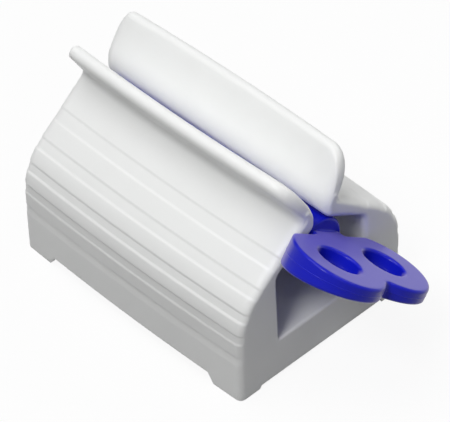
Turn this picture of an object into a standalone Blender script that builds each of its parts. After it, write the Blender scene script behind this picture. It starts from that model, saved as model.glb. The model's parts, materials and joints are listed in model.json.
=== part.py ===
# Toothpaste tube squeezer: a moulded housing on four feet, and the split key that winds a tube up inside it.
# Metres. X runs along the key's shaft with the handle at +X, Y goes across the housing, Z is 0 on the table.

from math import acos, atan2, cos, hypot, pi, radians, sin, sqrt, tan

import bmesh
import bpy

# Housing, outside
HOUSING_LENGTH = 0.085
HOUSING_WIDTH = 0.060           # across the long sides at either end
HOUSING_HEIGHT = 0.061
SIDE_CROWN = 0.001              # how far each long side bows out at mid-length
SHOULDER_RADIUS = 0.020         # turns the upright side into the shoulder
SHOULDER_SLOPE = radians(39)    # above horizontal
END_EDGE_RADIUS = 0.0017        # all round both end faces

# Ribs along both long sides, measured down the side from the neck
CREASE_DROPS = (0.0111, 0.0208, 0.0285, 0.0353, 0.0428)
RIB_DEPTH = 0.0004              # from crease to crest
RIB_RISE = 0.0025               # from a crease down to its crest
RIB_LEAD = 0.0015               # plain side running into the first crease
RIB_FADE = 0.0045               # last crest running out into the plain side

# Lips and the slot between them
LIP_RISE = 0.012                # from the neck to the top of the lips
LIP_LEAN = radians(31)          # outwards from upright
LIP_THICKNESS = 0.004
HANDLE_LIP_SETBACK = 0.0003     # lips' ends inside the end face, at the handle
TIP_LIP_SETBACK = 0.0001        # the same at the shaft's tip
HANDLE_LIP_CORNER = 0.007       # length of the lips' rounded upper corners, seen from the side
TIP_LIP_CORNER = 0.0027
LIP_CORNER_DROP = 0.0087
NECK_WIDTH = 0.0127             # across the two lines where shoulders and lips meet
NECK_RADIUS = 0.002             # less where the lip's outer wall is too short for it
NECK_RADIUS_SHARE = 0.9         # of what the lip's outer wall has room for, at most
NECK_DEPTH = 0.0044             # from the neck down to the tunnel's roof, at the slot
SLOT_WIDTH = 0.0041
SLOT_FLARE_RADIUS = 0.005
THROAT_RADIUS = 0.002           # slot walls into the roof

# Tunnel that the shaft lies in, open at both ends
TUNNEL_WIDTH = 0.0318
TUNNEL_FLOOR_HEIGHT = 0.0136
TUNNEL_WALL = 0.0022
ROOF_SLOPE = radians(31)
ROOF_CORNER_RADIUS = 0.003
FLOOR_CORNER_RADIUS = 0.001

# Open underside and feet
SIDE_WALL = 0.003
END_WALL = 0.003
FOOT_LENGTH = 0.010             # along X
FOOT_WIDTH = 0.007              # along Y
SIDE_LIFT = 0.0031              # long sides above the table, between the feet
END_LIFT = 0.001                # end walls above the table, between the feet
FOOT_TAPER = 0.65               # run of a foot's sloped side for each unit of its height

# Winding key
SHAFT_RADIUS = 0.0082           # at the handle
SHAFT_TIP_RADIUS = 0.0080
SHAFT_CLEARANCE = 0.0004        # to the tunnel's roof
SHAFT_WALL = 0.0025
SHAFT_EDGE_RADIUS = 0.0008
SHAFT_RECESS = 0.0012           # end disc inside the window
TIP_RECESS = 0.0035             # open tip inside the far window
DISC_THICKNESS = 0.0053         # closed end behind the disc's face
SLIT_WIDTH = 0.003
SLIT_MARGIN = 0.004             # unslit bore before the closed end
HANDLE_GAP = 0.0003             # rings to the housing's end face
RING_RADIUS = 0.0135
RING_SPACING = 0.0202           # between the two rings' centres
RING_REACH = 0.0122             # ring centres beyond the handle's back edge
HOLE_RADIUS = 0.0060
NOTCH_RADIUS = 0.0020           # front notch between the rings
HANDLE_BACK_THICKNESS = 0.0084
HANDLE_FRONT_THICKNESS = 0.0041
HANDLE_EDGE_RADIUS = 0.0006
WEB_INSET = 0.0003              # web inside the end disc's rim
WEB_ROOT = 0.003                # web sunk into the closed end
KEY_ANGLE = radians(-36.3)      # handle's plane from horizontal, at rest

# Facets
SHAFT_STEPS = 40
RING_STEPS = 26
HOLE_STEPS = 28
EDGE_STEPS = 4                  # quarter rounds at the housing's ends
LIP_CORNER_ANGLES = (radians(25), radians(45), radians(62), radians(76), radians(90))
STATION_GAP = 0.00006           # sections closer than this are made one
CROWN_STEPS = 8
CORNER_STEPS = 3
POCKET_STEPS = 8
OVERCUT = 0.002                 # cutters past the faces that they cut

SHOULDER_TURN = pi / 2 - SHOULDER_SLOPE
NECK_TURN = SHOULDER_TURN + LIP_LEAN
NECK_HEIGHT = HOUSING_HEIGHT - LIP_RISE
THROAT_HEIGHT = NECK_HEIGHT - NECK_DEPTH
HALF_LENGTH = HOUSING_LENGTH / 2
HALF_SLOT = SLOT_WIDTH / 2
HALF_TUNNEL = TUNNEL_WIDTH / 2
HALF_HANDLE = HANDLE_BACK_THICKNESS / 2

# The shaft lies under the roof's two slopes, which it clears by SHAFT_CLEARANCE.
ROOF_PEAK = THROAT_HEIGHT + HALF_SLOT * tan(ROOF_SLOPE)
AXIS_HEIGHT = ROOF_PEAK - (SHAFT_RADIUS + SHAFT_CLEARANCE) / cos(ROOF_SLOPE)

DISC_FACE = HALF_LENGTH - SHAFT_RECESS
BORE_END = DISC_FACE - DISC_THICKNESS
SHAFT_TIP = TIP_RECESS - HALF_LENGTH
HANDLE_BACK = HALF_LENGTH + HANDLE_GAP
RING_CENTRE = HANDLE_BACK + RING_REACH
HANDLE_FRONT = RING_CENTRE + RING_RADIUS

# The object's origin is under the middle of its whole length, handle included.
MIDDLE = (HANDLE_FRONT - HALF_LENGTH) / 2


def arc(centre, radius, start, end, steps):
    """Points on an arc, both ends included."""
    turn = (end - start) / steps
    angles = [start + turn * step for step in range(steps + 1)]
    return [(centre[0] + radius * cos(angle), centre[1] + radius * sin(angle)) for angle in angles]


def fillet(before, corner, after, radius, steps=CORNER_STEPS):
    """Points on the arc that rounds a corner between two straight lines."""
    back = (before[0] - corner[0], before[1] - corner[1])
    onward = (after[0] - corner[0], after[1] - corner[1])
    back = (back[0] / hypot(*back), back[1] / hypot(*back))
    onward = (onward[0] / hypot(*onward), onward[1] / hypot(*onward))
    half_angle = atan2(abs(back[0] * onward[1] - back[1] * onward[0]), back[0] * onward[0] + back[1] * onward[1]) / 2
    middle = (back[0] + onward[0], back[1] + onward[1])
    reach = radius / sin(half_angle) / hypot(*middle)
    centre = (corner[0] + middle[0] * reach, corner[1] + middle[1] * reach)
    setback = radius / tan(half_angle)
    start = atan2(corner[1] + back[1] * setback - centre[1], corner[0] + back[0] * setback - centre[0])
    end = atan2(corner[1] + onward[1] * setback - centre[1], corner[0] + onward[0] * setback - centre[0])
    turn = (end - start + pi) % (2 * pi) - pi
    return arc(centre, radius, start, start + turn, steps)


def mirrored(half):
    """A half outline on the +Y side, followed by its mirror image."""
    return half + [(-y, z) for y, z in reversed(half)]


def inset(outline, distance):
    """An outline moved into its material everywhere but on the table, where points only move sideways."""
    count = len(outline)
    area = sum(outline[i - 1][0] * outline[i][1] - outline[i][0] * outline[i - 1][1] for i in range(count))
    side = 1 if area > 0 else -1
    moved = []
    for index, (y, z) in enumerate(outline):
        before = outline[index - 1]
        after = outline[(index + 1) % count]
        first = (y - before[0], z - before[1])
        second = (after[0] - y, after[1] - z)
        first = (first[0] / hypot(*first), first[1] / hypot(*first))
        second = (second[0] / hypot(*second), second[1] / hypot(*second))
        normal = (-first[1] - second[1], first[0] + second[0])
        stretch = side * distance * 2 / (normal[0] ** 2 + normal[1] ** 2)
        lifted = z + normal[1] * stretch if z > 0 else z
        moved.append((y + normal[0] * stretch, lifted))
    return moved


def side_corner():
    """Where the upright side's line meets the shoulder's."""
    run = (HOUSING_WIDTH - NECK_WIDTH) / 2
    return HOUSING_WIDTH / 2, NECK_HEIGHT - run * tan(SHOULDER_SLOPE)


def shoulder_centre():
    """The centre of the arc between the shoulder and the upright side."""
    corner_y, corner_z = side_corner()
    return corner_y - SHOULDER_RADIUS, corner_z - SHOULDER_RADIUS * tan(SHOULDER_TURN / 2)


def slope_length():
    """From the neck down the straight shoulder to where the arc begins."""
    run = (HOUSING_WIDTH - NECK_WIDTH) / 2
    return run / cos(SHOULDER_SLOPE) - SHOULDER_RADIUS * tan(SHOULDER_TURN / 2)


def side_length():
    """From the neck down the side to the table."""
    return slope_length() + SHOULDER_RADIUS * SHOULDER_TURN + shoulder_centre()[1]


def side_point(drop, offset):
    """The point this far down the side from the neck, standing out by offset."""
    centre_y, centre_z = shoulder_centre()
    past_slope = drop - slope_length()
    if past_slope < 0:
        y = NECK_WIDTH / 2 + drop * cos(SHOULDER_SLOPE) + offset * sin(SHOULDER_SLOPE)
        z = NECK_HEIGHT - drop * sin(SHOULDER_SLOPE) + offset * cos(SHOULDER_SLOPE)
        return y, z
    if past_slope < SHOULDER_RADIUS * SHOULDER_TURN:
        angle = SHOULDER_TURN - past_slope / SHOULDER_RADIUS
        radius = SHOULDER_RADIUS + offset
        return centre_y + radius * cos(angle), centre_z + radius * sin(angle)
    return HOUSING_WIDTH / 2 + offset, centre_z - (past_slope - SHOULDER_RADIUS * SHOULDER_TURN)


def drop_at(y, offset):
    """How far down the side from the neck a line that stands out by offset reaches this Y."""
    drop = (y - NECK_WIDTH / 2 - offset * sin(SHOULDER_SLOPE)) / cos(SHOULDER_SLOPE)
    if drop < slope_length():
        return drop
    angle = acos((y - shoulder_centre()[0]) / (SHOULDER_RADIUS + offset))
    return slope_length() + (SHOULDER_TURN - angle) * SHOULDER_RADIUS


def ribbed_side():
    """The outer side from the first crease down to the table, as points with the ribs on it.

    Each band leans out from its crease to a crest, then falls back ever more steeply to the next crease.
    """
    low = -RIB_DEPTH / 2
    high = RIB_DEPTH / 2
    creases = [drop for drop in CREASE_DROPS if drop + RIB_RISE + RIB_FADE < side_length() - SIDE_LIFT]
    stations = [(creases[0] - RIB_LEAD, 0)]
    for index, crease in enumerate(creases):
        crest = crease + RIB_RISE
        last = index == len(creases) - 1
        end = crest + RIB_FADE if last else creases[index + 1]
        fallen = 0 if last else low
        stations += [(crease, low), (crease + RIB_RISE / 2, 0), (crest, high)]
        for share in (1 / 3, 2 / 3):
            stations.append((crest + share * (end - crest), high + (fallen - high) * share ** 1.5))
        if last:
            stations.append((end, 0))
    stations.append((side_length(), 0))
    return [side_point(drop, offset) for drop, offset in stations]


def housing_section(crown, lip_drop):
    """The housing's closed C-shaped section. Its outside stands out by crown, and its lips are cut by lip_drop."""
    neck = (NECK_WIDTH / 2 + crown, NECK_HEIGHT)
    lean = (sin(LIP_LEAN), cos(LIP_LEAN))
    tip_radius = LIP_THICKNESS / 2
    reach = (LIP_RISE - lip_drop - tip_radius * (1 + lean[0])) / lean[1]
    tip = (neck[0] + reach * lean[0] - tip_radius * lean[1], neck[1] + reach * lean[1] + tip_radius * lean[0])
    tip_arc = arc(tip, tip_radius, -LIP_LEAN, pi - LIP_LEAN, 6)

    flare_run = NECK_WIDTH / 2 - LIP_THICKNESS / lean[1] - HALF_SLOT
    flare = (HALF_SLOT, NECK_HEIGHT - flare_run * lean[1] / lean[0])
    throat = (HALF_SLOT, THROAT_HEIGHT)
    roof = (HALF_TUNNEL, ROOF_PEAK - HALF_TUNNEL * tan(ROOF_SLOPE))
    floor = (HALF_TUNNEL, TUNNEL_FLOOR_HEIGHT)

    side = [(y + crown, z) for y, z in reversed(ribbed_side())]
    neck_radius = min(NECK_RADIUS, NECK_RADIUS_SHARE * reach / tan(NECK_TURN / 2))
    return mirrored(
        side
        + fillet(side[-1], neck, tip_arc[0], neck_radius)
        + tip_arc
        + fillet(tip_arc[-1], flare, throat, SLOT_FLARE_RADIUS)
        + fillet(flare, throat, roof, THROAT_RADIUS)
        + fillet(throat, roof, floor, ROOF_CORNER_RADIUS)
        + fillet(roof, floor, (0, TUNNEL_FLOOR_HEIGHT), FLOOR_CORNER_RADIUS)
    )


def pocket_section(crown):
    """The hollow under the housing: between its outside and the tunnel, and up over the tunnel's shoulders."""
    inner = HALF_TUNNEL + TUNNEL_WALL
    low = slope_length() + SHOULDER_RADIUS * SHOULDER_TURN
    high = drop_at(inner - crown, -SIDE_WALL)
    drops = [low + (high - low) * step / POCKET_STEPS for step in range(POCKET_STEPS + 1)]
    outer = [side_point(drop, -SIDE_WALL) for drop in drops]
    wall = [(y + crown, z) for y, z in outer]
    return mirrored([(wall[0][0], -OVERCUT)] + wall + [(inner, TUNNEL_FLOOR_HEIGHT - TUNNEL_WALL)])


def crown_at(x):
    """A flat arch: nothing at the ends, SIDE_CROWN at mid-length."""
    return SIDE_CROWN * (1 - (x / HALF_LENGTH) ** 2)


def lip_end(side):
    """How far from mid-length the lips end, on the handle's side or the tip's, and how long their corners are."""
    if side > 0:
        return HALF_LENGTH - HANDLE_LIP_SETBACK, HANDLE_LIP_CORNER
    return HALF_LENGTH - TIP_LIP_SETBACK, TIP_LIP_CORNER


def lip_drop_at(x):
    """How far the lips' rounded upper corners bring them down here. Each corner is a quarter of an ellipse."""
    end, corner = lip_end(x)
    left = (end - abs(x)) / corner
    if left >= 1:
        return 0
    if left <= 0:
        return LIP_CORNER_DROP
    return LIP_CORNER_DROP * (1 - sqrt(left * (2 - left)))


def end_shrink_at(x):
    """How far the rounded edge of an end face draws a section in here."""
    left = HALF_LENGTH - abs(x)
    if left >= END_EDGE_RADIUS:
        return 0
    return END_EDGE_RADIUS - sqrt(left * (2 * END_EDGE_RADIUS - left))


def loft(name, stations, collection):
    """A closed body through sections of equally many points, each given as its X and its (Y, Z) outline."""
    body = bmesh.new()
    rings = [[body.verts.new((x, y, z)) for y, z in outline] for x, outline in stations]
    for ring, following in zip(rings, rings[1:]):
        for index in range(len(ring)):
            after = (index + 1) % len(ring)
            body.faces.new((ring[index], ring[after], following[after], following[index]))
    body.faces.new(rings[0])
    body.faces.new(rings[-1])
    bmesh.ops.recalc_face_normals(body, faces=body.faces)
    bmesh.ops.triangulate(body, faces=body.faces)
    return add_object(name, body, collection)


def add_object(name, body, collection):
    """Turns a bmesh into an object."""
    mesh = bpy.data.meshes.new(name)
    body.to_mesh(mesh)
    body.free()
    item = bpy.data.objects.new(name, mesh)
    collection.objects.link(item)
    return item


def add_box(name, low, high, collection, top_inset=(0, 0)):
    """A box between two corners, whose top can be smaller along X and Y."""
    body = bmesh.new()
    bmesh.ops.create_cube(body, size=1)
    for vert in body.verts:
        top = vert.co.z > 0
        for axis in range(3):
            upper = vert.co[axis] > 0
            shrink = top_inset[axis] if top and axis < 2 else 0
            vert.co[axis] = high[axis] - shrink if upper else low[axis] + shrink
    return add_object(name, body, collection)


def make_cutter(item):
    """Shows a cutter as a wire guide that isn't rendered."""
    item.hide_render = True
    item.display_type = "WIRE"
    return item


def combine(item, other, operation):
    """Adds an exact Boolean."""
    modifier = item.modifiers.new(other.name, "BOOLEAN")
    modifier.object = other
    modifier.operation = operation
    modifier.solver = "EXACT"


def settle(item):
    """Applies an object's modifiers, or turns a curve into a mesh with its caps welded, and gives back the object."""
    bpy.context.view_layer.update()
    evaluated = item.evaluated_get(bpy.context.evaluated_depsgraph_get())
    body = bmesh.new()
    mesh = bpy.data.meshes.new_from_object(evaluated)
    body.from_mesh(mesh)
    bmesh.ops.remove_doubles(body, verts=body.verts, dist=0.000001)
    bmesh.ops.recalc_face_normals(body, faces=body.faces)
    body.to_mesh(mesh)
    body.free()
    name = item.name
    collection = item.users_collection[0]
    bpy.data.objects.remove(item)
    mesh.name = name
    settled = bpy.data.objects.new(name, mesh)
    collection.objects.link(settled)
    return settled


def shade(item):
    """Smooth shading with crisp edges kept."""
    item.data.shade_smooth()
    item.data.set_sharp_from_angle(angle=radians(35))


def make_material(name, colour, roughness):
    """A plain moulded plastic."""
    material = bpy.data.materials.new(name)
    material.use_nodes = True
    shader = material.node_tree.nodes["Principled BSDF"]
    shader.inputs["Base Color"].default_value = (*colour, 1)
    shader.inputs["Roughness"].default_value = roughness
    shader.inputs["Metallic"].default_value = 0
    material.diffuse_color = (*colour, 1)
    return material


def half_stations(side):
    """Distances from mid-length, closer together where the lips come down and where the end edge turns over."""
    end, corner = lip_end(side)
    plain = end - corner
    rounded = HALF_LENGTH - END_EDGE_RADIUS
    places = [plain * 2 * step / CROWN_STEPS for step in range(1, CROWN_STEPS // 2 + 1)]
    places += [plain + corner * sin(angle) for angle in LIP_CORNER_ANGLES]
    places += [rounded + END_EDGE_RADIUS * sin(pi / 2 * step / EDGE_STEPS) for step in range(EDGE_STEPS)]
    places = sorted(places) + [HALF_LENGTH]
    kept = [place for place, following in zip(places, places[1:]) if following - place > STATION_GAP]
    return kept + [HALF_LENGTH]


def build_housing(parts, cutters):
    """The shell is lofted along X, hollowed from below and lifted off the table between its feet."""
    sections = []
    for x in [-place for place in reversed(half_stations(-1))] + [0] + half_stations(1):
        outline = housing_section(crown_at(x), lip_drop_at(x))
        shrink = end_shrink_at(x)
        sections.append((x, inset(outline, shrink) if shrink else outline))
    housing = loft("housing", sections, parts)

    reach = HALF_LENGTH - END_WALL
    places = [reach * step / CROWN_STEPS * 2 - reach for step in range(CROWN_STEPS + 1)]
    pocket = loft("underside_pocket", [(x, pocket_section(crown_at(x))) for x in places], cutters)

    past_side = HOUSING_WIDTH / 2 + SIDE_CROWN + OVERCUT
    past_end = HALF_LENGTH + OVERCUT
    side_run = FOOT_TAPER * (SIDE_LIFT + OVERCUT)
    side_half = HALF_LENGTH - FOOT_LENGTH + FOOT_TAPER * OVERCUT
    sides = add_box(
        "side_relief",
        (-side_half, -past_side, -OVERCUT),
        (side_half, past_side, SIDE_LIFT),
        cutters,
        (side_run, 0),
    )
    end_run = FOOT_TAPER * (END_LIFT + OVERCUT)
    end_half = HOUSING_WIDTH / 2 - FOOT_WIDTH + FOOT_TAPER * OVERCUT
    ends = add_box(
        "end_relief",
        (-past_end, -end_half, -OVERCUT),
        (past_end, end_half, END_LIFT),
        cutters,
        (0, end_run),
    )
    for cutter in (pocket, sides, ends):
        combine(housing, make_cutter(cutter), "DIFFERENCE")
    housing = settle(housing)
    shade(housing)
    housing.data.materials.append(make_material("white_housing", (0.80, 0.81, 0.79), 0.32))
    return housing


def shaft_radius_at(x):
    """The shaft's outside, which tapers evenly to its tip."""
    share = (DISC_FACE - x) / (DISC_FACE - SHAFT_TIP)
    return SHAFT_RADIUS + (SHAFT_TIP_RADIUS - SHAFT_RADIUS) * share


def build_shaft(cutters):
    """A turned tube, open at its tip and closed behind the end disc."""
    rim = SHAFT_EDGE_RADIUS
    bore_radius = SHAFT_TIP_RADIUS - SHAFT_WALL
    profile = [(DISC_FACE, 0)]
    profile += arc((DISC_FACE - rim, SHAFT_RADIUS - rim), rim, 0, pi / 2, CORNER_STEPS)
    tip = arc((SHAFT_TIP + rim, shaft_radius_at(SHAFT_TIP) - rim), rim, pi / 2, pi, CORNER_STEPS)
    profile += tip + [(SHAFT_TIP, bore_radius), (BORE_END, bore_radius), (BORE_END, 0)]

    body = bmesh.new()
    verts = [body.verts.new((x, radius, 0)) for x, radius in profile]
    for first, second in zip(verts, verts[1:]):
        body.edges.new((first, second))
    shaft = add_object("shaft", body, cutters)
    screw = shaft.modifiers.new("turn", "SCREW")
    screw.axis = "X"
    screw.steps = SHAFT_STEPS
    screw.render_steps = SHAFT_STEPS
    screw.use_merge_vertices = True
    screw.merge_threshold = 0.00001
    return settle(shaft)


def handle_outline():
    """The two joined rings and the web that runs back into the shaft, as a closed outline in the handle's plane."""
    half_spacing = RING_SPACING / 2
    web_end = DISC_FACE - WEB_ROOT
    web_half = sqrt((SHAFT_RADIUS - WEB_INSET) ** 2 - (HALF_HANDLE + handle_thinning(web_end)) ** 2)
    notch_reach = sqrt((RING_RADIUS + NOTCH_RADIUS) ** 2 - half_spacing ** 2)
    notch_angle = atan2(half_spacing, notch_reach)
    back_angle = atan2(sqrt(RING_RADIUS ** 2 - RING_REACH ** 2), -RING_REACH)
    lower = arc((RING_CENTRE, -half_spacing), RING_RADIUS, -back_angle, notch_angle, RING_STEPS)
    notch_centre = (RING_CENTRE + notch_reach, 0)
    notch = arc(notch_centre, NOTCH_RADIUS, pi + notch_angle, pi - notch_angle, 4)
    half = [(web_end, -web_half), (HANDLE_BACK, -web_half)] + lower + notch[1:3]
    return half + [(x, -y) for x, y in reversed(half) if y]


def handle_thinning(x):
    """How much thicker each half of the handle is here than at its back edge. It is negative further out."""
    slope = (HANDLE_BACK_THICKNESS - HANDLE_FRONT_THICKNESS) / 2 / (HANDLE_FRONT - HANDLE_BACK)
    return slope * (HANDLE_BACK - x)


def add_ring(curve, points):
    """Adds a closed straight-sided spline to a flat curve."""
    spline = curve.splines.new("POLY")
    spline.points.add(len(points) - 1)
    for point, (x, y) in zip(spline.points, points):
        point.co = (x, y, 0, 1)
    spline.use_cyclic_u = True


def build_handle(cutters):
    """A flat plate with two finger holes and rounded edges, thinned evenly towards its front."""
    edge = min(HANDLE_EDGE_RADIUS, HANDLE_FRONT_THICKNESS * 0.45)
    curve = bpy.data.curves.new("handle", "CURVE")
    curve.dimensions = "2D"
    curve.fill_mode = "BOTH"
    curve.extrude = HALF_HANDLE - edge
    curve.bevel_depth = edge
    curve.bevel_resolution = 2
    curve.offset = -edge
    add_ring(curve, handle_outline())
    for side in (-1, 1):
        centre = (RING_CENTRE, side * RING_SPACING / 2)
        add_ring(curve, arc(centre, HOLE_RADIUS, 2 * pi, 0, HOLE_STEPS)[:-1])
    handle = bpy.data.objects.new("handle", curve)
    cutters.objects.link(handle)
    handle = settle(handle)
    for vert in handle.data.vertices:
        vert.co.z += handle_thinning(vert.co.x) * (1 if vert.co.z > 0 else -1)
    return handle


def build_key(parts, cutters):
    """The shaft, slit in the handle's plane to take the tube's tail, joined to the handle."""
    key = build_shaft(cutters)
    key.name = "winding_key"
    slit_reach = SHAFT_RADIUS + OVERCUT
    slit = add_box(
        "shaft_slit",
        (SHAFT_TIP - OVERCUT, -slit_reach, -SLIT_WIDTH / 2),
        (BORE_END - SLIT_MARGIN, slit_reach, SLIT_WIDTH / 2),
        cutters,
    )
    handle = build_handle(cutters)
    combine(key, make_cutter(slit), "DIFFERENCE")
    combine(key, make_cutter(handle), "UNION")
    key = settle(key)
    cutters.objects.unlink(key)
    parts.objects.link(key)
    shade(key)
    key.data.materials.append(make_material("blue_key", (0.035, 0.035, 0.50), 0.28))
    return key


def main():
    for item in list(bpy.data.objects):
        bpy.data.objects.remove(item)
    parts = bpy.data.collections.new("toothpaste_tube_squeezer")
    cutters = bpy.data.collections.new("cutters")
    bpy.context.scene.collection.children.link(parts)
    bpy.context.scene.collection.children.link(cutters)

    housing = build_housing(parts, cutters)
    key = build_key(parts, cutters)

    middle = bpy.data.objects.new("housing_middle", None)
    middle.location.x = -MIDDLE
    axle = bpy.data.objects.new("key_axis", None)
    axle.location.z = AXIS_HEIGHT
    axle.rotation_euler.x = KEY_ANGLE
    for empty in (middle, axle):
        parts.objects.link(empty)
    axle.parent = middle
    housing.parent = middle
    key.parent = axle
    for cutter in cutters.objects:
        on_key = cutter.name in ("shaft_slit", "handle")
        cutter.parent = axle if on_key else middle


main()
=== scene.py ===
# Looks of a toothpaste tube squeezer: a white ribbed housing, and the blue key that winds a tube up in it.
# Metres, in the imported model's frame: X along the key's shaft, Y across the housing, Z up from the table.

import json
import math

import bmesh
import bpy
import numpy as np
from mathutils import Euler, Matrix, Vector
from mathutils.geometry import tessellate_polygon


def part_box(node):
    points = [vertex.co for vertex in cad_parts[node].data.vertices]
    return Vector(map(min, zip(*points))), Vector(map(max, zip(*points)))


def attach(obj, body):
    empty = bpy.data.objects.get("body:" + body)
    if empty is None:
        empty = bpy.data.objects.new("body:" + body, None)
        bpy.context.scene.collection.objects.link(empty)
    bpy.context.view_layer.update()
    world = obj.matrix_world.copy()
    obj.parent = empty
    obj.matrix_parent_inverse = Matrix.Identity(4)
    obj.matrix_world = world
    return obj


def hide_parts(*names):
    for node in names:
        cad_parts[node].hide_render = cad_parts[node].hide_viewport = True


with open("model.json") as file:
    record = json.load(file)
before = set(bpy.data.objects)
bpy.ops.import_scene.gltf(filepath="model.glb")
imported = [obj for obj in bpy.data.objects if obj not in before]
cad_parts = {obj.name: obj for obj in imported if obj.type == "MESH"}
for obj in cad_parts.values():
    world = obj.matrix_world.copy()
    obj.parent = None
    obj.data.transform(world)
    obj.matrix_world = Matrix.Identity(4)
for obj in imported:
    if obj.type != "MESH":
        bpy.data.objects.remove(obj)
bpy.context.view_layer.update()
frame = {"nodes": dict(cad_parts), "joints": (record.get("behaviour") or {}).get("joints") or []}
housingLow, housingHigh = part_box("housing")
hinge = Vector(frame["joints"][0]["pos_m"])  # on the shaft's axis, at the face of the end disc
print("frame loaded:", sorted(frame["nodes"]))

halfTurn = math.pi
quarterTurn = math.pi / 2
mergeDistance = 1e-6
sharpAngle = math.radians(38)        # faces that meet more steeply keep a crisp edge


# Shared shapes

# Vectors divided by their own length.
def unit(vectors):
    return vectors / np.linalg.norm(vectors, axis=-1, keepdims=True)


# Points from arrays or numbers for each of their coordinates.
def pointsAt(*coordinates):
    return np.stack(np.broadcast_arrays(*coordinates), axis=-1)


# Points round part of a circle: centre + radius * (cos, sin) of evenly spaced angles.
def arcPoints(centre, radius, start, end, count):
    angles = np.linspace(start, end, count)
    return np.asarray(centre)[..., None, :] + radius * pointsAt(np.cos(angles), np.sin(angles))


# The arc that rounds a corner: both ends touch the straight lines, and the points between turn evenly.
def cornerArc(before, corner, after, radius, count):
    back = unit(before - corner)
    onward = unit(after - corner)
    halfAngle = np.arccos(np.clip((back * onward).sum(-1), -1, 1))[..., None] / 2
    centre = corner + unit(back + onward) * radius / np.sin(halfAngle)
    setback = radius / np.tan(halfAngle)
    first = (corner + back * setback - centre)[..., None, :]
    last = (corner + onward * setback - centre)[..., None, :]
    turn = (halfTurn - 2 * halfAngle)[..., None, :]
    share = np.linspace(0, 1, count)[:, None]
    swing = (np.sin((1 - share) * turn) * first + np.sin(share * turn) * last) / np.sin(turn)
    return centre[..., None, :] + swing


# Unit directions along a path, from the points before and after each point.
def alongPath(path):
    padded = np.concatenate([path[..., :1, :], path, path[..., -1:, :]], axis=-2)
    return unit(padded[..., 2:, :] - padded[..., :-2, :])


# Directions turned a quarter to the left: (-y, x).
def leftOf(ways):
    return pointsAt(-ways[..., 1], ways[..., 0])


# One path from several stretches, with its directions. Arcs end along the straight runs between them.
# Each run gets a point near either end, so that the shading of the arcs doesn't spread over the flats.
def joinStretches(stretches, margin=0.06):
    path = [stretches[0]]
    ways = [alongPath(stretches[0])]
    for stretch in stretches[1:]:
        start = path[-1][..., -1:, :]
        run = stretch[..., :1, :] - start
        straight = unit(run)
        way = alongPath(stretch)
        ways[-1][..., -1:, :] = straight
        way[..., :1, :] = straight
        path += [start + run * margin, start + run * (1 - margin), stretch]
        ways += [straight, straight, way]
    return np.concatenate(path, axis=-2), np.concatenate(ways, axis=-2)


# Values that run evenly along each stretch, laid out as joinStretches lays out its points.
def joinValues(stretches, starts, ends):
    values = []
    for stretch, start, end in zip(stretches, starts, ends):
        if values:
            values.append([values[-1][-1], start])
        values.append(np.linspace(start, end, stretch.shape[-2]))
    return np.concatenate(values)


# Points with the first of them again at the end.
def closedLoop(points):
    return np.concatenate([points, points[:1]])


# The four-sided faces between neighbouring points of a grid, by the numbers of their corners.
def gridQuads(rows, columns):
    first = (np.arange(rows - 1)[:, None] * columns + np.arange(columns - 1)).ravel()
    return pointsAt(first, first + 1, first + columns + 1, first + columns)


# One closed mesh from sheets. A sheet is a grid of points (rows, columns, 3), one flat outline (points, 3),
# or a list of points with their triangles.
def meshFromSheets(name, sheets):
    points = []
    faces = []
    start = 0
    for sheet in sheets:
        if isinstance(sheet, tuple):
            flat, triangles = sheet
            faces += (np.array(triangles) + start).tolist()
        elif sheet.ndim == 3:
            flat = sheet.reshape(-1, 3)
            faces += (gridQuads(*sheet.shape[:2]) + start).tolist()
        else:
            flat = sheet
            faces.append(list(range(start, start + len(flat))))
        points.append(flat)
        start += len(flat)
    mesh = bpy.data.meshes.new(name)
    mesh.from_pydata(np.concatenate(points).tolist(), [], faces)
    shell = bmesh.new()
    shell.from_mesh(mesh)
    bmesh.ops.remove_doubles(shell, verts=shell.verts, dist=mergeDistance)
    bmesh.ops.recalc_face_normals(shell, faces=shell.faces)
    openEdges = sum(not edge.is_manifold for edge in shell.edges)
    shell.to_mesh(mesh)
    shell.free()
    print(f"{name}: {len(mesh.polygons)} faces, {openEdges} open edges")
    return mesh


# The flat region between an outline and the holes in it, as points with their triangles.
def fillBetween(loops):
    return np.concatenate(loops), tessellate_polygon([(loop * (1, 1, 0)).tolist() for loop in loops])


# A finished piece: smooth but for its true edges, riding on its body and standing for its node.
def addPiece(name, mesh, material, body, node):
    mesh.shade_smooth()
    mesh.set_sharp_from_angle(angle=sharpAngle)
    mesh.materials.append(material)
    piece = bpy.data.objects.new(name, mesh)
    bpy.context.scene.collection.objects.link(piece)
    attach(piece, body)
    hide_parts(node)


# Materials

# A new material with its nodes and its main shader.
def newNodes(name):
    material = bpy.data.materials.new(name)
    material.use_nodes = True
    tree = material.node_tree
    return material, tree, tree.nodes["Principled BSDF"]


# A new node with its settings.
def addNode(tree, kind, **settings):
    node = tree.nodes.new(kind)
    for setting, value in settings.items():
        setattr(node, setting, value)
    return node


# Object coordinates through noise of a given grain, in metres.
def addNoise(tree, grain, detail):
    place = addNode(tree, "ShaderNodeTexCoord")
    noise = addNode(tree, "ShaderNodeTexNoise")
    noise.inputs["Scale"].default_value = 1 / grain
    noise.inputs["Detail"].default_value = detail
    tree.links.new(place.outputs["Object"], noise.inputs["Vector"])
    return noise.outputs["Fac"]


# A value carried evenly from one range to another.
def remap(tree, value, low, high, start=0, end=1):
    ramp = addNode(tree, "ShaderNodeMapRange")
    for socket, number in (("From Min", start), ("From Max", end), ("To Min", low), ("To Max", high)):
        ramp.inputs[socket].default_value = number
    tree.links.new(value, ramp.inputs["Value"])
    return ramp.outputs["Result"]


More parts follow.
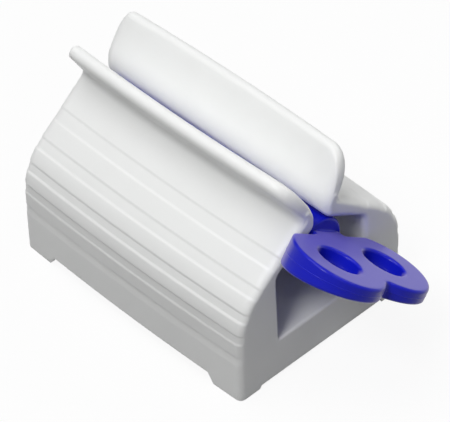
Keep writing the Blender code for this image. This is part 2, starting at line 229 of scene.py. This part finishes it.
# Moulded plastic: a colour that drifts slightly, varied gloss, and the fine unevenness of a mould's skin.
def mouldedPlastic(name, look):
    material, tree, shader = newNodes(name)
    colours = addNode(tree, "ShaderNodeMix", data_type="RGBA")
    colours.inputs[6].default_value = (*look["colour"], 1)
    colours.inputs[7].default_value = (*look["driftColour"], 1)
    tree.links.new(addNoise(tree, look["driftGrain"], detail=2), colours.inputs[0])
    tree.links.new(colours.outputs[2], shader.inputs["Base Color"])
    gloss = addNoise(tree, look["glossGrain"], detail=3)
    tree.links.new(remap(tree, gloss, *look["roughness"]), shader.inputs["Roughness"])
    bump = addNode(tree, "ShaderNodeBump")
    bump.inputs["Strength"].default_value = 1
    bump.inputs["Distance"].default_value = look["skinDepth"]
    tree.links.new(addNoise(tree, look["skinGrain"], detail=4), bump.inputs["Height"])
    tree.links.new(bump.outputs["Normal"], shader.inputs["Normal"])
    for socket, value in look["sockets"].items():
        shader.inputs[socket].default_value = value
    return material


# A haze over what is seen nearly edge on: none at the first share of turning away, all of it at the second.
def addHaze(material, look):
    tree = material.node_tree
    facing = addNode(tree, "ShaderNodeLayerWeight").outputs["Facing"]
    weight = remap(tree, facing, 0, look["haze"], *look["hazeFacing"])
    tree.links.new(weight, tree.nodes["Principled BSDF"].inputs["Sheen Weight"])


whiteLook = dict(
    colour=(0.86, 0.87, 0.86),
    driftColour=(0.88, 0.885, 0.88),
    driftGrain=0.03,
    roughness=(0.30, 0.42),
    glossGrain=0.006,
    skinGrain=0.0012,
    skinDepth=0.000012,
    sockets={
        "Specular IOR Level": 0.4,
        "Subsurface Weight": 0.5,            # light that enters the plastic and leaves nearby
        "Subsurface Radius": (1, 1, 1),
        "Subsurface Scale": 0.0018,
    },
)
lilacTint = (0.90, 0.76, 1, 1)       # of the blue's gloss and haze
blueLook = dict(
    colour=(0.004, 0.009, 0.47),
    driftColour=(0.007, 0.011, 0.52),
    driftGrain=0.02,
    roughness=(0.28, 0.36),
    glossGrain=0.005,
    skinGrain=0.001,
    skinDepth=0.000010,
    haze=0.27,
    hazeFacing=(0.52, 0.74),
    sockets={
        "Specular IOR Level": 0.10,
        "Specular Tint": lilacTint,
        "Coat Weight": 0.20,
        "Coat Roughness": 0.14,
        "Sheen Roughness": 1.0,
        "Sheen Tint": lilacTint,
    },
)


# Housing: sizes of its section, seen along X, and of its ends

housing = dict(
    width=0.060,
    crown=0.001,                     # how far each long side bows out at mid-length
    shoulderRadius=0.020,
    shoulderSlope=math.radians(39),
    endEdge=0.0017,                  # rounding round the end faces
    lipEndLength=0.0032,             # the same rounding starts further in on the lips
    windowEdge=0.0008,               # and is smaller at the windows' sills
    endBand=0.0001,                  # narrow strip that keeps the end faces' shading flat
    ribWalls=(                       # down the side from the neck: place, width, step outwards
        (0.0111, 0.0009, -0.00020),
        (0.0150, 0.0010, 0.00020),
        (0.0207, 0.0009, -0.00028),
        (0.0239, 0.0010, 0.00028),
        (0.0285, 0.0009, -0.00030),
        (0.0312, 0.0010, 0.00030),
        (0.0354, 0.0009, -0.00030),
        (0.0383, 0.0010, 0.00025),
        (0.0430, 0.0010, -0.00015),
        (0.0452, 0.0026, 0.00020),
    ),
    ribMargin=0.001,                 # plain side at either end that is as finely divided as the ribs
    ribWallReach=0.55,               # finest division on a wall, from its middle, in its widths
    lipRise=0.012,
    lipLean=math.radians(31),
    lipThickness=0.004,
    lipSetbacks=(0.0001, 0.0003),    # lips' ends inside the end faces, at the tip and at the handle
    lipCorners=(0.0027, 0.0070),     # length of their rounded corners, at the same ends
    lipCornerDrop=0.0087,
    neckWidth=0.0127,
    neckRadius=0.002,
    neckDepth=0.0044,
    slotWidth=0.0041,
    flareRadius=0.0115,
    roomShare=0.9,                   # of a lip's wall, which the radius at its foot takes at most
    throatRadius=0.003,
    tunnelWidth=0.0318,
    tunnelFloor=0.0136,
    tunnelWall=0.0022,
    roofSlope=math.radians(31),
    roofCornerRadius=0.003,
    floorCornerRadius=0.001,
    sideWall=0.003,
    endWall=0.003,
    footLength=0.010,
    footWidth=0.007,
    sideLift=0.0031,                 # long sides above the table between the feet
    endLift=0.001,                   # end walls above it
    footTaper=0.65,                  # run of a foot's sloped side for each unit of its height
    rimRadius=0.0004,                # outer bottom edge
    pocketRadius=0.0008,
    stationGap=0.00003,              # stations closer than this are made one
)
housingMiddle = (housingLow.x + housingHigh.x) / 2
halfLength = (housingHigh.x - housingLow.x) / 2
halfWidth = housing["width"] / 2
neckHeight = housingHigh.z - housing["lipRise"]
shoulderTurn = quarterTurn - housing["shoulderSlope"]
shoulderRun = (housing["width"] - housing["neckWidth"]) / 2
cornerSetback = housing["shoulderRadius"] * math.tan(shoulderTurn / 2)
slopeLength = shoulderRun / math.cos(housing["shoulderSlope"]) - cornerSetback
arcLength = housing["shoulderRadius"] * shoulderTurn
arcCentre = (
    halfWidth - housing["shoulderRadius"],
    neckHeight - shoulderRun * math.tan(housing["shoulderSlope"]) - cornerSetback,
)
sideLength = slopeLength + arcLength + arcCentre[1]


# A point this far down the side from the neck, standing out by offset: along the straight shoulder,
# then round the shoulder's arc, then straight down.
def sidePoint(drop, offset):
    drop, offset = np.broadcast_arrays(drop, offset)
    slope = housing["shoulderSlope"]
    onSlope = pointsAt(
        housing["neckWidth"] / 2 + drop * math.cos(slope) + offset * math.sin(slope),
        neckHeight - drop * math.sin(slope) + offset * math.cos(slope),
    )
    past = drop - slopeLength
    angle = shoulderTurn - past / housing["shoulderRadius"]
    radius = housing["shoulderRadius"] + offset
    onArc = pointsAt(arcCentre[0] + radius * np.cos(angle), arcCentre[1] + radius * np.sin(angle))
    onWall = pointsAt(halfWidth + offset, arcCentre[1] - (past - arcLength))
    return np.where((past < 0)[..., None], onSlope, np.where((past < arcLength)[..., None], onArc, onWall))


# How far the side stands out at these drops: the sum of all walls' steps, each an S-curve, 3 t^2 - 2 t^3.
def ribOffset(drops):
    place, width, step = np.array(housing["ribWalls"]).T
    share = np.clip((drops[..., None] - place) / width + 0.5, 0, 1)
    return (step * share * share * (3 - 2 * share)).sum(-1)


# Rising places without those that the next one follows closely.
def apart(places):
    return places[np.append(np.diff(places) > housing["stationGap"], True)]


# Drops from the plain side under the last rib up to the plain shoulder, closer together on the ribs' walls.
def ribbedDrops():
    place, width = np.array(housing["ribWalls"]).T[:2]
    onWalls = place[:, None] + width[:, None] * housing["ribWallReach"] * np.linspace(-1, 1, 12)
    between = np.linspace(place[0] - housing["ribMargin"], place[-1] + width[-1] + housing["ribMargin"], 49)
    return apart(np.union1d(onWalls, between))[::-1]


# The long sides bow out as a parabola: crown * (1 - (x / half length)^2).
def crownAt(x):
    return housing["crown"] * (1 - (x / halfLength) ** 2)


# Where the lips end on the side of x, and how long their corners are there.
def lipEndAt(x):
    pairs = housing["lipSetbacks"], housing["lipCorners"]
    setback, corner = (np.where(x > 0, atHandle, atTip) for atTip, atHandle in pairs)
    return halfLength - setback, corner


# Lips come down at their ends as a quarter of an ellipse: drop * (1 - sqrt(1 - share^2)).
def lipDropAt(x):
    end, corner = lipEndAt(x)
    left = np.clip((end - np.abs(x)) / corner, 0, 1)
    return housing["lipCornerDrop"] * (1 - np.sqrt(left * (2 - left)))


# The rounded edge of an end face draws the section in, as a quarter of an ellipse whose share rises over the
# edge's length: depth * (1 - sqrt(1 - share^2)). There is one row for each x.
def endShrinkAt(x, depths, lengths):
    left = np.clip((halfLength - np.abs(x))[:, None] / lengths, 0, 1)
    return depths * (1 - np.sqrt(left * (2 - left)))


# Height of the bottom edge: nothing on a foot, a sloped run, then the full lift between the feet.
def liftAt(place, reach, lift):
    return lift * np.clip((reach - np.abs(place)) / (housing["footTaper"] * lift), 0, 1)


# Lift of the long sides' bottom edges along the housing, and of the ends' across it.
def sideLiftAt(x):
    return liftAt(x, halfLength - housing["footLength"], housing["sideLift"])


def endLiftAt(y):
    return liftAt(y, halfWidth - housing["footWidth"], housing["endLift"])


# A corner's radius at each station, no more than the lip's wall beside it has room for.
def roomyRadius(radius, room, turn):
    return np.minimum(radius, housing["roomShare"] * room / math.tan(turn / 2))[:, None]


# The section at every station at once, from the +Y bottom edge over the lip into the tunnel and out to the -Y
# edge: the path, how far the end edges draw it in, and the unit directions into the material.
def sectionPaths(x, bottom):
    crown = crownAt(x)
    still = np.zeros_like(x)         # for what is the same at every station

    # The side, from its plain foot up over the ribs to the plain shoulder.
    ribbed = ribbedDrops()
    lowest = sideLength - bottom[:, None]
    plain = lowest + (ribbed[0] - lowest) * np.linspace(0, 1, 9)[:-1]
    drops = np.concatenate([plain, np.broadcast_to(ribbed, (len(x), len(ribbed)))], axis=1)
    side = sidePoint(drops, ribOffset(drops)) + pointsAt(crown, still)[:, None, :]

    # The lip: both walls lean, and a half circle joins them at the top.
    lean = housing["lipLean"]
    tipRadius = housing["lipThickness"] / 2
    neck = pointsAt(housing["neckWidth"] / 2 + crown, neckHeight)
    reach = (housing["lipRise"] - lipDropAt(x) - tipRadius * (1 + math.sin(lean))) / math.cos(lean)
    tip = neck + pointsAt(
        reach * math.sin(lean) - tipRadius * math.cos(lean),
        reach * math.cos(lean) + tipRadius * math.sin(lean),
    )
    tipArc = arcPoints(tip, tipRadius, -lean, halfTurn - lean, count=25)
    neckRadius = roomyRadius(housing["neckRadius"], reach, shoulderTurn + lean)

    # The slot's flare and throat, the tunnel's roof and floor: the corners before they are rounded.
    halfSlot = housing["slotWidth"] / 2
    halfTunnel = housing["tunnelWidth"] / 2
    throatHeight = neckHeight - housing["neckDepth"]
    roofPeak = throatHeight + halfSlot * math.tan(housing["roofSlope"])
    flareRun = housing["neckWidth"] / 2 - housing["lipThickness"] / math.cos(lean) - halfSlot
    flare = pointsAt(still + halfSlot, neckHeight - flareRun / math.tan(lean))
    throat = pointsAt(still + halfSlot, throatHeight)
    roof = pointsAt(still + halfTunnel, roofPeak - halfTunnel * math.tan(housing["roofSlope"]))
    floor = pointsAt(still + halfTunnel, housing["tunnelFloor"])
    middle = pointsAt(still, housing["tunnelFloor"])
    flareRadius = roomyRadius(housing["flareRadius"], np.linalg.norm(flare - tipArc[:, -1], axis=-1), lean)

    stretches = [
        side,
        cornerArc(side[:, -1], neck, tipArc[:, 0], neckRadius, count=11),
        tipArc,
        cornerArc(tipArc[:, -1], flare, throat, flareRadius, count=11),
        cornerArc(flare, throat, roof, housing["throatRadius"], count=11),
        cornerArc(throat, roof, floor, housing["roofCornerRadius"], count=11),
        cornerArc(roof, floor, middle, housing["floorCornerRadius"], count=7),
        middle[:, None, :],
    ]
    half, ways = joinStretches(stretches)
    inward = leftOf(ways)
    inward[:, :side.shape[1]] = sidePoint(drops, 0) - sidePoint(drops, 1)  # square to the plain side

    # How deep and how long the end edge is where each stretch starts and ends.
    edge, lip, window = housing["endEdge"], housing["lipEndLength"], housing["windowEdge"]
    depths = joinValues(stretches, [edge] * 6 + [window] * 2, [edge] * 6 + [window] * 2)
    lengths = joinValues(
        stretches,
        [edge] + [lip] * 4 + [edge] + [window] * 2,
        [lip] * 4 + [edge] * 2 + [window] * 2,
    )
    rounding = inward * endShrinkAt(x, depths, lengths)[..., None]
    return [np.concatenate([part, part[:, -2::-1] * (-1, 1)], axis=1) for part in (half, rounding, inward)]


# Stations along the housing, closer together where the lips come down and the end edges turn over.
def housingStations():
    footEdge = halfLength - housing["footLength"]
    slopeEnd = footEdge - housing["footTaper"] * housing["sideLift"]
    lengths = [housing[name] for name in ("endEdge", "lipEndLength", "windowEdge")]
    turn = np.linspace(0, quarterTurn, 14)
    halves = []
    for side in (-1, 1):
        end, corner = lipEndAt(side)
        places = np.concatenate([
            np.linspace(0, end - corner, 22),
            end - corner + corner * np.sin(turn),
            *(halfLength - length * (1 - np.sin(turn)) for length in lengths),
        ])
        halves.append(np.union1d(apart(np.sort(places)), [footEdge, slopeEnd]))
    return np.concatenate([-halves[0][:0:-1], halves[1]])


# Section paths as points in space, each at its station.
def atStations(x, paths):
    places = np.broadcast_to((x + housingMiddle)[:, None, None], (*paths.shape[:2], 1))
    return np.concatenate([places, paths], axis=-1)


# The housing's outside: section paths with rounded end edges, moved a further inset into the material.
def skinPoints(x, bottom, inset=0):
    paths, rounding, inward = sectionPaths(x, bottom)
    return atStations(x, paths + rounding + inward * inset)


# Like a place on the outside, but drawn in near the end to reach only the inner edge there.
def drawIn(place, keep, outer, inner):
    distance = np.abs(place)
    near = keep + (distance - keep) * (inner - keep) / (outer - keep)
    return np.sign(place) * np.where(distance > keep, near, distance)


# The hollow underneath: up inside the long wall, over, down the tunnel's wall and across under its floor.
def pocketPaths(x, bottom):
    inner = housing["tunnelWidth"] / 2 + housing["tunnelWall"]
    under = housing["tunnelFloor"] - housing["tunnelWall"]
    crown = crownAt(x)
    still = np.zeros_like(x)         # for what is the same at every station
    innerDrops = np.linspace(slopeLength + arcLength, slopeLength, 14)
    roof = sidePoint(innerDrops, -housing["sideWall"]) + pointsAt(crown, still)[:, None, :]
    last = roof[:, -1]
    corner = pointsAt(still + inner, last[:, 1] + (last[:, 0] - inner) * math.tan(housing["shoulderSlope"]))
    foot = pointsAt(still + inner, under)
    middle = pointsAt(still, under)
    half = joinStretches([
        pointsAt(halfWidth - housing["sideWall"] + crown, bottom)[:, None, :],
        roof,
        cornerArc(last, corner, foot, housing["pocketRadius"], count=6),
        cornerArc(corner, foot, middle, housing["pocketRadius"], count=6),
    ])[0]
    return np.concatenate([half, middle[:, None, :], half[:, ::-1] * (-1, 1)], axis=1)


# The skin and the hollow are both sections carried along X. Flat faces close their ends, and a rim joins the
# loops round their bottom edges: a quarter round, then flat.
def buildHousing():
    x = housingStations()
    rim = housing["rimRadius"]
    band = housing["endBand"]
    skin = skinPoints(x, sideLiftAt(x) + rim)
    innerX = drawIn(x, halfLength - housing["footLength"], halfLength, halfLength - housing["endWall"])
    hollow = atStations(innerX, pocketPaths(innerX, sideLiftAt(innerX)))
    sheets = [skin, hollow]

    # Places across an end, from +Y to -Y without its corners.
    outerEnd = skin[-1, 0, 1]
    footEdge = halfWidth - housing["footWidth"]
    slopeEnd = footEdge - housing["footTaper"] * housing["endLift"]
    half = np.union1d(np.linspace(0, outerEnd, 12), [footEdge, slopeEnd])
    across = np.concatenate([half[-2:0:-1], -half[:-1]])
    innerAcross = drawIn(across, footEdge, outerEnd, hollow[-1, 0, 1])

    # At each end: the way round, the end's station, and the end of the sections that leads to it.
    outerLoop = []
    innerLoop = []
    for turned, station, column in ((1, -1, 0), (-1, 0, -1)):
        line = pointsAt(x[station] + housingMiddle, across * turned, endLiftAt(across) + rim)
        innerLine = pointsAt(innerX[station] + housingMiddle, innerAcross * turned, endLiftAt(innerAcross))
        outerLoop += [skin[::turned, column], line]
        innerLoop += [hollow[::turned, column], innerLine]

        # The end face: a narrow inset band that keeps its shading flat, then one flat face.
        line, innerLine = line[::-turned], innerLine[::-turned]
        edge = np.concatenate([skin[station], line])
        inset = np.concatenate([
            skinPoints(x[station:][:1], np.array([rim + band]), band)[0],
            line + (0, 0, band),
        ])
        sheets += [np.stack([closedLoop(edge), closedLoop(inset)]), inset]
        sheets.append(np.concatenate([hollow[station], innerLine]))

    outer = closedLoop(np.concatenate(outerLoop))
    inner = closedLoop(np.concatenate(innerLoop))
    level = (inner - outer) * (1, 1, 0)
    width = np.linalg.norm(level, axis=-1, keepdims=True)
    turn = np.linspace(0, quarterTurn, 6)[:, None, None]
    rounded = outer + level * (rim * (1 - np.cos(turn)) / width) - (0, 0, rim) * np.sin(turn)
    sheets.append(np.concatenate([rounded, inner[None]]))
    return meshFromSheets("housing_shell", sheets)


# Winding key, in its own frame: X along the shaft from mid-housing, Y across the rings, Z through the plate

shaft = dict(
    restAngle=math.radians(-36.3),   # of the slit and the handle, from level
    discInset=0.0012,                # disc's face inside the window
    tipInset=0.0035,                 # open tip inside the far window
    radius=0.0082,                   # at the disc
    tipRadius=0.0080,
    wall=0.0025,
    edge=0.0008,
    discThickness=0.0053,
    slitWidth=0.003,
    slitMargin=0.004,                # unslit bore before the disc
    slitCore=1.6,                    # half slits from the axis, within which the slit's angle is constant
    mouthChamfer=0.0004,
    margin=0.0003,                   # narrow strips beside the sharp turns of the disc and the bore's end
)
discFace = halfLength - shaft["discInset"]
boreEnd = discFace - shaft["discThickness"]
slitEnd = boreEnd - shaft["slitMargin"]
shaftTip = shaft["tipInset"] - halfLength
keyTurn = np.array(Euler((shaft["restAngle"], 0, 0)).to_matrix())


# From the key's own frame to its place at rest.
def placeKey(points):
    return points @ keyTurn.T + (hinge.x - discFace, hinge.y, hinge.z)


# The shaft's radius, which falls evenly from the disc to the tip.
def shaftRadiusAt(x):
    taper = (shaft["radius"] - shaft["tipRadius"]) / (discFace - shaftTip)
    return shaft["radius"] - taper * (discFace - x)


# A profile of (x, radius) turned about the axis from one side of the slit to the other. The slit's edge
# lies at asin(half width / radius), so its walls are parallel. A whole turn also bridges the slit.
def turnProfile(profile, whole):
    x, radius = profile[:, 0, None], profile[:, 1, None]
    halfSlit = shaft["slitWidth"] / 2
    slitAngle = np.arcsin(halfSlit / np.maximum(radius, halfSlit * shaft["slitCore"]))
    angles = slitAngle + (halfTurn - 2 * slitAngle) * np.linspace(0, 1, 49)
    if whole:
        bridge = halfTurn + slitAngle * np.linspace(-1, 1, 9)[1:-1]
        around = [angles, bridge, angles + halfTurn, bridge + halfTurn, angles[:, :1] + 2 * halfTurn]
        angles = np.concatenate(around, axis=1)
    return pointsAt(x, radius * np.cos(angles), radius * np.sin(angles))


# Two half tubes of one profile, the slit's flat walls between them, and the closed end with its blind bore.
def buildShaft():
    edge = shaft["edge"]
    margin = shaft["margin"]
    chamfer = shaft["mouthChamfer"]
    bore = shaft["tipRadius"] - shaft["wall"]
    halfSlit = shaft["slitWidth"] / 2

    closedEnd = np.concatenate([
        [[discFace, 0], [discFace, shaft["radius"] - edge - margin]],
        arcPoints((discFace - edge, shaft["radius"] - edge), edge, 0, quarterTurn, count=9),
        [[x, shaftRadiusAt(x)] for x in (boreEnd, slitEnd)],
    ])
    blindEnd = np.array([[slitEnd, bore], [boreEnd + margin, bore], [boreEnd, bore - margin], [boreEnd, 0]])
    tipTurn = shaftTip + edge
    spans = np.linspace(slitEnd, tipTurn, 8)[:-1]
    outside = np.concatenate([
        pointsAt(spans, shaftRadiusAt(spans)),
        arcPoints((tipTurn, shaftRadiusAt(tipTurn) - edge), edge, quarterTurn, halfTurn, count=9),
        [[shaftTip, bore + chamfer], [shaftTip + chamfer, bore]],
    ])
    inside = pointsAt(np.maximum(outside[:, 0], outside[-1, 0]), bore)

    sheets = [turnProfile(closedEnd, whole=True), turnProfile(blindEnd, whole=True)]
    halfTube = turnProfile(np.concatenate([outside, inside[::-1]]), whole=False)
    across = np.linspace(-1, 1, 9)
    for turned in (1, -1):
        flip = (1, turned, turned)
        sheets.append(halfTube * flip)
        for side in (1, -1):
            wall = [pointsAt(line[:, 0], np.sqrt(line[:, 1] ** 2 - halfSlit ** 2) * side, halfSlit)
                    for line in (outside, inside)]
            sheets.append(np.stack(wall) * flip)
        ends = []
        for radius in (shaftRadiusAt(slitEnd), bore):
            angle = math.asin(halfSlit / radius) * across
            ends.append(pointsAt(slitEnd, radius * np.cos(angle), radius * np.sin(angle)))
        sheets.append(np.stack(ends) * (1, turned, 1))
    return meshFromSheets("key_shaft", [placeKey(sheet) for sheet in sheets])


handle = dict(
    gap=0.0003,                      # to the housing's end face
    ringRadius=0.0135,
    ringSpacing=0.0202,
    ringReach=0.0122,                # ring centres beyond the plate's back edge
    holeRadius=0.0060,
    notchRadius=0.0020,
    backThickness=0.0084,
    frontThickness=0.0041,
    edge=0.0008,
    webInset=0.0003,                 # inside the shaft's outline
    webRoot=0.003,                   # sunk into the disc
    backCorner=0.0024,               # where a ring meets the plate's back edge
    webCorner=0.0006,                # where the back edge meets the web
    partingHeight=0.00006,           # of the mould's faint line round the plate and its holes
    partingWidth=0.0003,
    partingMargin=1.2,               # a row this far out, in half widths, keeps in the line's shading
    wallBlend=0.1,                   # and one this share down the wall that of the rounded edge
)
plateBack = halfLength + handle["gap"]
ringCentre = plateBack + handle["ringReach"]
plateFront = ringCentre + handle["ringRadius"]


# Half of the plate's thickness, which falls evenly from its back edge to its front.
def halfThickness(x):
    slope = (handle["backThickness"] - handle["frontThickness"]) / 2 / (plateFront - plateBack)
    return handle["backThickness"] / 2 + slope * (plateBack - x)


# Two rings that overlap, a notch between them in front, and the web that runs back into the shaft. Arcs touch
# each other, and the half at -Y is mirrored. The path goes round with its material on the left.
def plateOutline():
    half = handle["ringSpacing"] / 2
    radius = handle["ringRadius"]
    notchRadius = handle["notchRadius"]
    webEnd = discFace - handle["webRoot"]
    webHalf = math.sqrt((shaft["radius"] - handle["webInset"]) ** 2 - halfThickness(webEnd) ** 2)
    notchReach = math.sqrt((radius + notchRadius) ** 2 - half ** 2)
    notchAngle = math.atan2(half, notchReach)

    # The arc that rounds the ring into the back edge touches both from inside.
    corner = handle["backCorner"]
    roundX = plateBack + corner
    roundY = -half - math.sqrt((radius - corner) ** 2 - (roundX - ringCentre) ** 2)
    meet = math.atan2(roundY + half, roundX - ringCentre)

    webBack, webFront, backEdge = np.array([[webEnd, -webHalf], [plateBack, -webHalf], [plateBack, roundY]])
    ring = joinStretches([
        cornerArc(backEdge, webFront, webBack, handle["webCorner"], count=7)[::-1],
        np.concatenate([
            arcPoints((roundX, roundY), corner, -halfTurn, meet, count=9)[:-1],
            arcPoints((ringCentre, -half), radius, meet, notchAngle, count=81),
        ]),
    ])[0]
    notch = arcPoints((ringCentre + notchReach, 0), notchRadius, halfTurn + notchAngle, halfTurn, count=9)
    side = joinStretches([webBack[None], np.concatenate([ring, notch[1:]])])[0]
    return np.concatenate([side, side[-2::-1] * (1, -1)])


# The edge of the plate carried round a path: flat, rounded over, down the wall past the parting line,
# and the same below. Each row is the path moved into the material by an inset, at a height.
def edgeRows(path):
    normals = leftOf(unit(np.roll(path, -1, axis=0) - np.roll(path, 1, axis=0)))
    edge = handle["edge"]
    line = handle["partingHeight"]
    turn = np.linspace(quarterTurn, 0, 8)
    insets = np.append(2 * edge, edge * (1 - np.cos(turn))) + line
    drops = np.append(0, edge * (1 - np.sin(turn)))
    top = path + normals * insets[:, None, None]
    upper = np.dstack([top, halfThickness(top[..., 0]) - drops[:, None]])

    # The line stands proud by height * sqrt(1 - share^2), with the share 1 at its edge and 0 in its middle.
    share = np.linspace(1, 0, 6)
    proud = np.append(0, line * np.sqrt(1 - share * share))
    heights = handle["partingWidth"] / 2 * np.append(handle["partingMargin"], share)
    moved = path + normals * (line - proud)[:, None, None]
    wall = np.dstack([moved, np.broadcast_to(heights[:, None], moved.shape[:2])])
    below = upper[-1:] + (wall[:1] - upper[-1:]) * handle["wallBlend"]
    whole = np.concatenate([upper, below, wall])
    return np.concatenate([whole, whole[-2::-1] * (1, 1, -1)])


# The plate: its edge round the outline and both finger holes, and a flat face between them on either side.
def buildHandle():
    half = handle["ringSpacing"] / 2
    holes = [
        arcPoints((ringCentre, side * half), handle["holeRadius"], 2 * halfTurn, 0, count=97)[:-1]
        for side in (-1, 1)
    ]
    bands = [edgeRows(path) for path in (plateOutline(), *holes)]
    sheets = [placeKey(np.concatenate([band, band[:, :1]], axis=1)) for band in bands]
    upper, triangles = fillBetween([band[0] for band in bands])
    for side in (1, -1):
        sheets.append((placeKey(upper * (1, 1, side)), triangles))
    return meshFromSheets("key_handle", sheets)


rootFillets = dict(
    radius=0.0007,                   # in the middle
    endRadius=0.00001,
    reach=0.0052,                    # from the middle to either end
    sunk=0.00004,                    # into both faces
    depth=0.0006,                    # of the body that carries the round, inside the disc and the plate
)


# A small fillet where the plate's faces run into the disc: a quarter round. Its radius dies out at both ends,
# as sqrt(1 - share^2).
def buildRootFillets():
    share = np.linspace(-1, 1, 33)[:, None]
    radius = rootFillets["radius"] * np.sqrt(1 - share ** 2) + rootFillets["endRadius"]
    turn = np.linspace(quarterTurn, 0, 9)
    discSide = discFace - rootFillets["sunk"]
    plateSide = halfThickness(discFace) - rootFillets["sunk"]
    x = discSide + radius * (1 - np.sin(turn))
    z = plateSide + radius * (1 - np.cos(turn))
    backX = discFace - rootFillets["depth"]
    bottomZ = halfThickness(discFace) - rootFillets["depth"]
    y = share * rootFillets["reach"]
    corners = ((x, z), (x[:, -1:], bottomZ), (backX, bottomZ), (backX, z[:, :1]), (x[:, :1], z[:, :1]))
    ring = np.concatenate([pointsAt(cornerX, y, cornerZ) for cornerX, cornerZ in corners], axis=1)
    sheets = []
    for side in (1, -1):
        flipped = ring * (1, 1, side)
        sheets += [flipped, flipped[0, :-1], flipped[-1, :-1]]
    return meshFromSheets("key_root_fillets", [placeKey(sheet) for sheet in sheets])


white = mouldedPlastic("white_moulded_plastic", whiteLook)
blue = mouldedPlastic("blue_moulded_plastic", blueLook)
addHaze(blue, blueLook)
addPiece("housing_shell", buildHousing(), white, "base", "housing")
addPiece("key_shaft", buildShaft(), blue, "key", "winding_key")
addPiece("key_handle", buildHandle(), blue, "key", "winding_key")
addPiece("key_root_fillets", buildRootFillets(), blue, "key", "winding_key")
print("pieces made")


# Camera, at the photograph's viewing angle

view = dict(
    aim=(-0.0182635, 0.0103902, 0.0105317),
    distance=0.768229,
    azimuth=math.radians(47.3210),
    elevation=math.radians(42.9276),
    roll=math.radians(-1.7058),
    lens=224,
    sensor=36,
)
camera = bpy.data.objects.new("camera", bpy.data.cameras.new("camera"))
bpy.context.scene.collection.objects.link(camera)
bpy.context.scene.camera = camera
camera.data.lens = view["lens"]
camera.data.sensor_width = view["sensor"]
turned = Euler((quarterTurn - view["elevation"], 0, view["azimuth"])).to_matrix()
turned = turned @ Euler((0, 0, view["roll"])).to_matrix()
camera.rotation_euler = turned.to_euler()
camera.location = Vector(view["aim"]) + turned @ Vector((0, 0, view["distance"]))
camera.data.clip_start = 0.01
camera.data.clip_end = 20
print("camera placed")


# Studio: a pale floor, soft lamps and a plain world

studio = dict(
    worldLight=0.08,
    floorReach=3.0,                  # from the middle, on every side
    floorColour=0.90,                # as it is seen
    floorBounce=0.22,                # the same, for the light that it throws back on the object
    floorWhite=0.90,                 # how much of the floor's white shows however dark its shadow is
    floorRoughness=0.9,
)
lamps = dict(                        # place, size across in metres, power in watts
    overhead=((-0.2, -0.22, 1.16), 0.80, 6.6),
    longSide=((0.22, -0.65, 0.98), 0.35, 5.3),
    endSide=((0.86, -0.31, 0.77), 0.60, 1.0),
    farSide=((0.16, 0.90, 0.77), 0.60, 3.0),
)


# 1 for what is seen directly, mirrored or through glass, 0 for light on its way to the object.
def seenShare(tree):
    path = addNode(tree, "ShaderNodeLightPath")
    seen = path.outputs["Is Camera Ray"]
    for name in ("Is Glossy Ray", "Is Transmission Ray"):
        larger = addNode(tree, "ShaderNodeMath", operation="MAXIMUM")
        tree.links.new(seen, larger.inputs[0])
        tree.links.new(path.outputs[name], larger.inputs[1])
        seen = larger.outputs[0]
    return seen


# Two surfaces mixed by a share, 0 for the plain one and 1 for the bright one.
def mixSurfaces(tree, share, plain, bright, output):
    mixed = addNode(tree, "ShaderNodeMixShader")
    for socket, source in enumerate((share, plain, bright)):
        tree.links.new(source, mixed.inputs[socket])
    tree.links.new(mixed.outputs[0], tree.nodes[output].inputs["Surface"])


# A level square of four faces under the housing.
def buildFloor():
    corners = np.linspace(-studio["floorReach"], studio["floorReach"], 3)
    x, y = np.meshgrid(corners, corners, indexing="ij")
    mesh = bpy.data.meshes.new("floor")
    mesh.from_pydata(pointsAt(x, y, housingLow.z).reshape(-1, 3).tolist(), [], gridQuads(*x.shape).tolist())
    floor = bpy.data.objects.new("floor", mesh)
    bpy.context.scene.collection.objects.link(floor)
    material, tree, shader = newNodes("pale_floor")
    seen = seenShare(tree)
    level = remap(tree, seen, studio["floorBounce"], studio["floorColour"])
    tree.links.new(level, shader.inputs["Base Color"])
    shader.inputs["Roughness"].default_value = studio["floorRoughness"]
    shader.inputs["Specular IOR Level"].default_value = 0
    share = addNode(tree, "ShaderNodeMath", operation="MULTIPLY")
    share.inputs[1].default_value = studio["floorWhite"]
    tree.links.new(seen, share.inputs[0])
    glow = addNode(tree, "ShaderNodeEmission")
    mixSurfaces(tree, share.outputs[0], shader.outputs[0], glow.outputs[0], "Material Output")
    mesh.materials.append(material)


# A weak even light all round, and plain white where the world itself is seen.
def buildWorld():
    world = bpy.data.worlds.new("studio")
    bpy.context.scene.world = world
    world.use_nodes = True
    tree = world.node_tree
    light = tree.nodes["Background"]
    backdrop = addNode(tree, "ShaderNodeBackground")
    for node, strength in ((light, studio["worldLight"]), (backdrop, 1)):
        node.inputs["Color"].default_value = (1, 1, 1, 1)
        node.inputs["Strength"].default_value = strength
    mixSurfaces(tree, seenShare(tree), light.outputs[0], backdrop.outputs[0], "World Output")


# A round lamp that faces the object.
def addLamp(name, place, size, power):
    lamp = bpy.data.objects.new(name, bpy.data.lights.new(name, "AREA"))
    bpy.context.scene.collection.objects.link(lamp)
    lamp.data.shape = "DISK"
    lamp.data.size = size
    lamp.data.energy = power
    lamp.location = place
    lamp.rotation_euler = (-Vector(place)).to_track_quat("-Z", "Y").to_euler()


buildFloor()
buildWorld()
for name, (place, size, power) in lamps.items():
    addLamp(name, place, size, power)
bpy.context.scene.view_settings.view_transform = "Standard"
print("studio made")
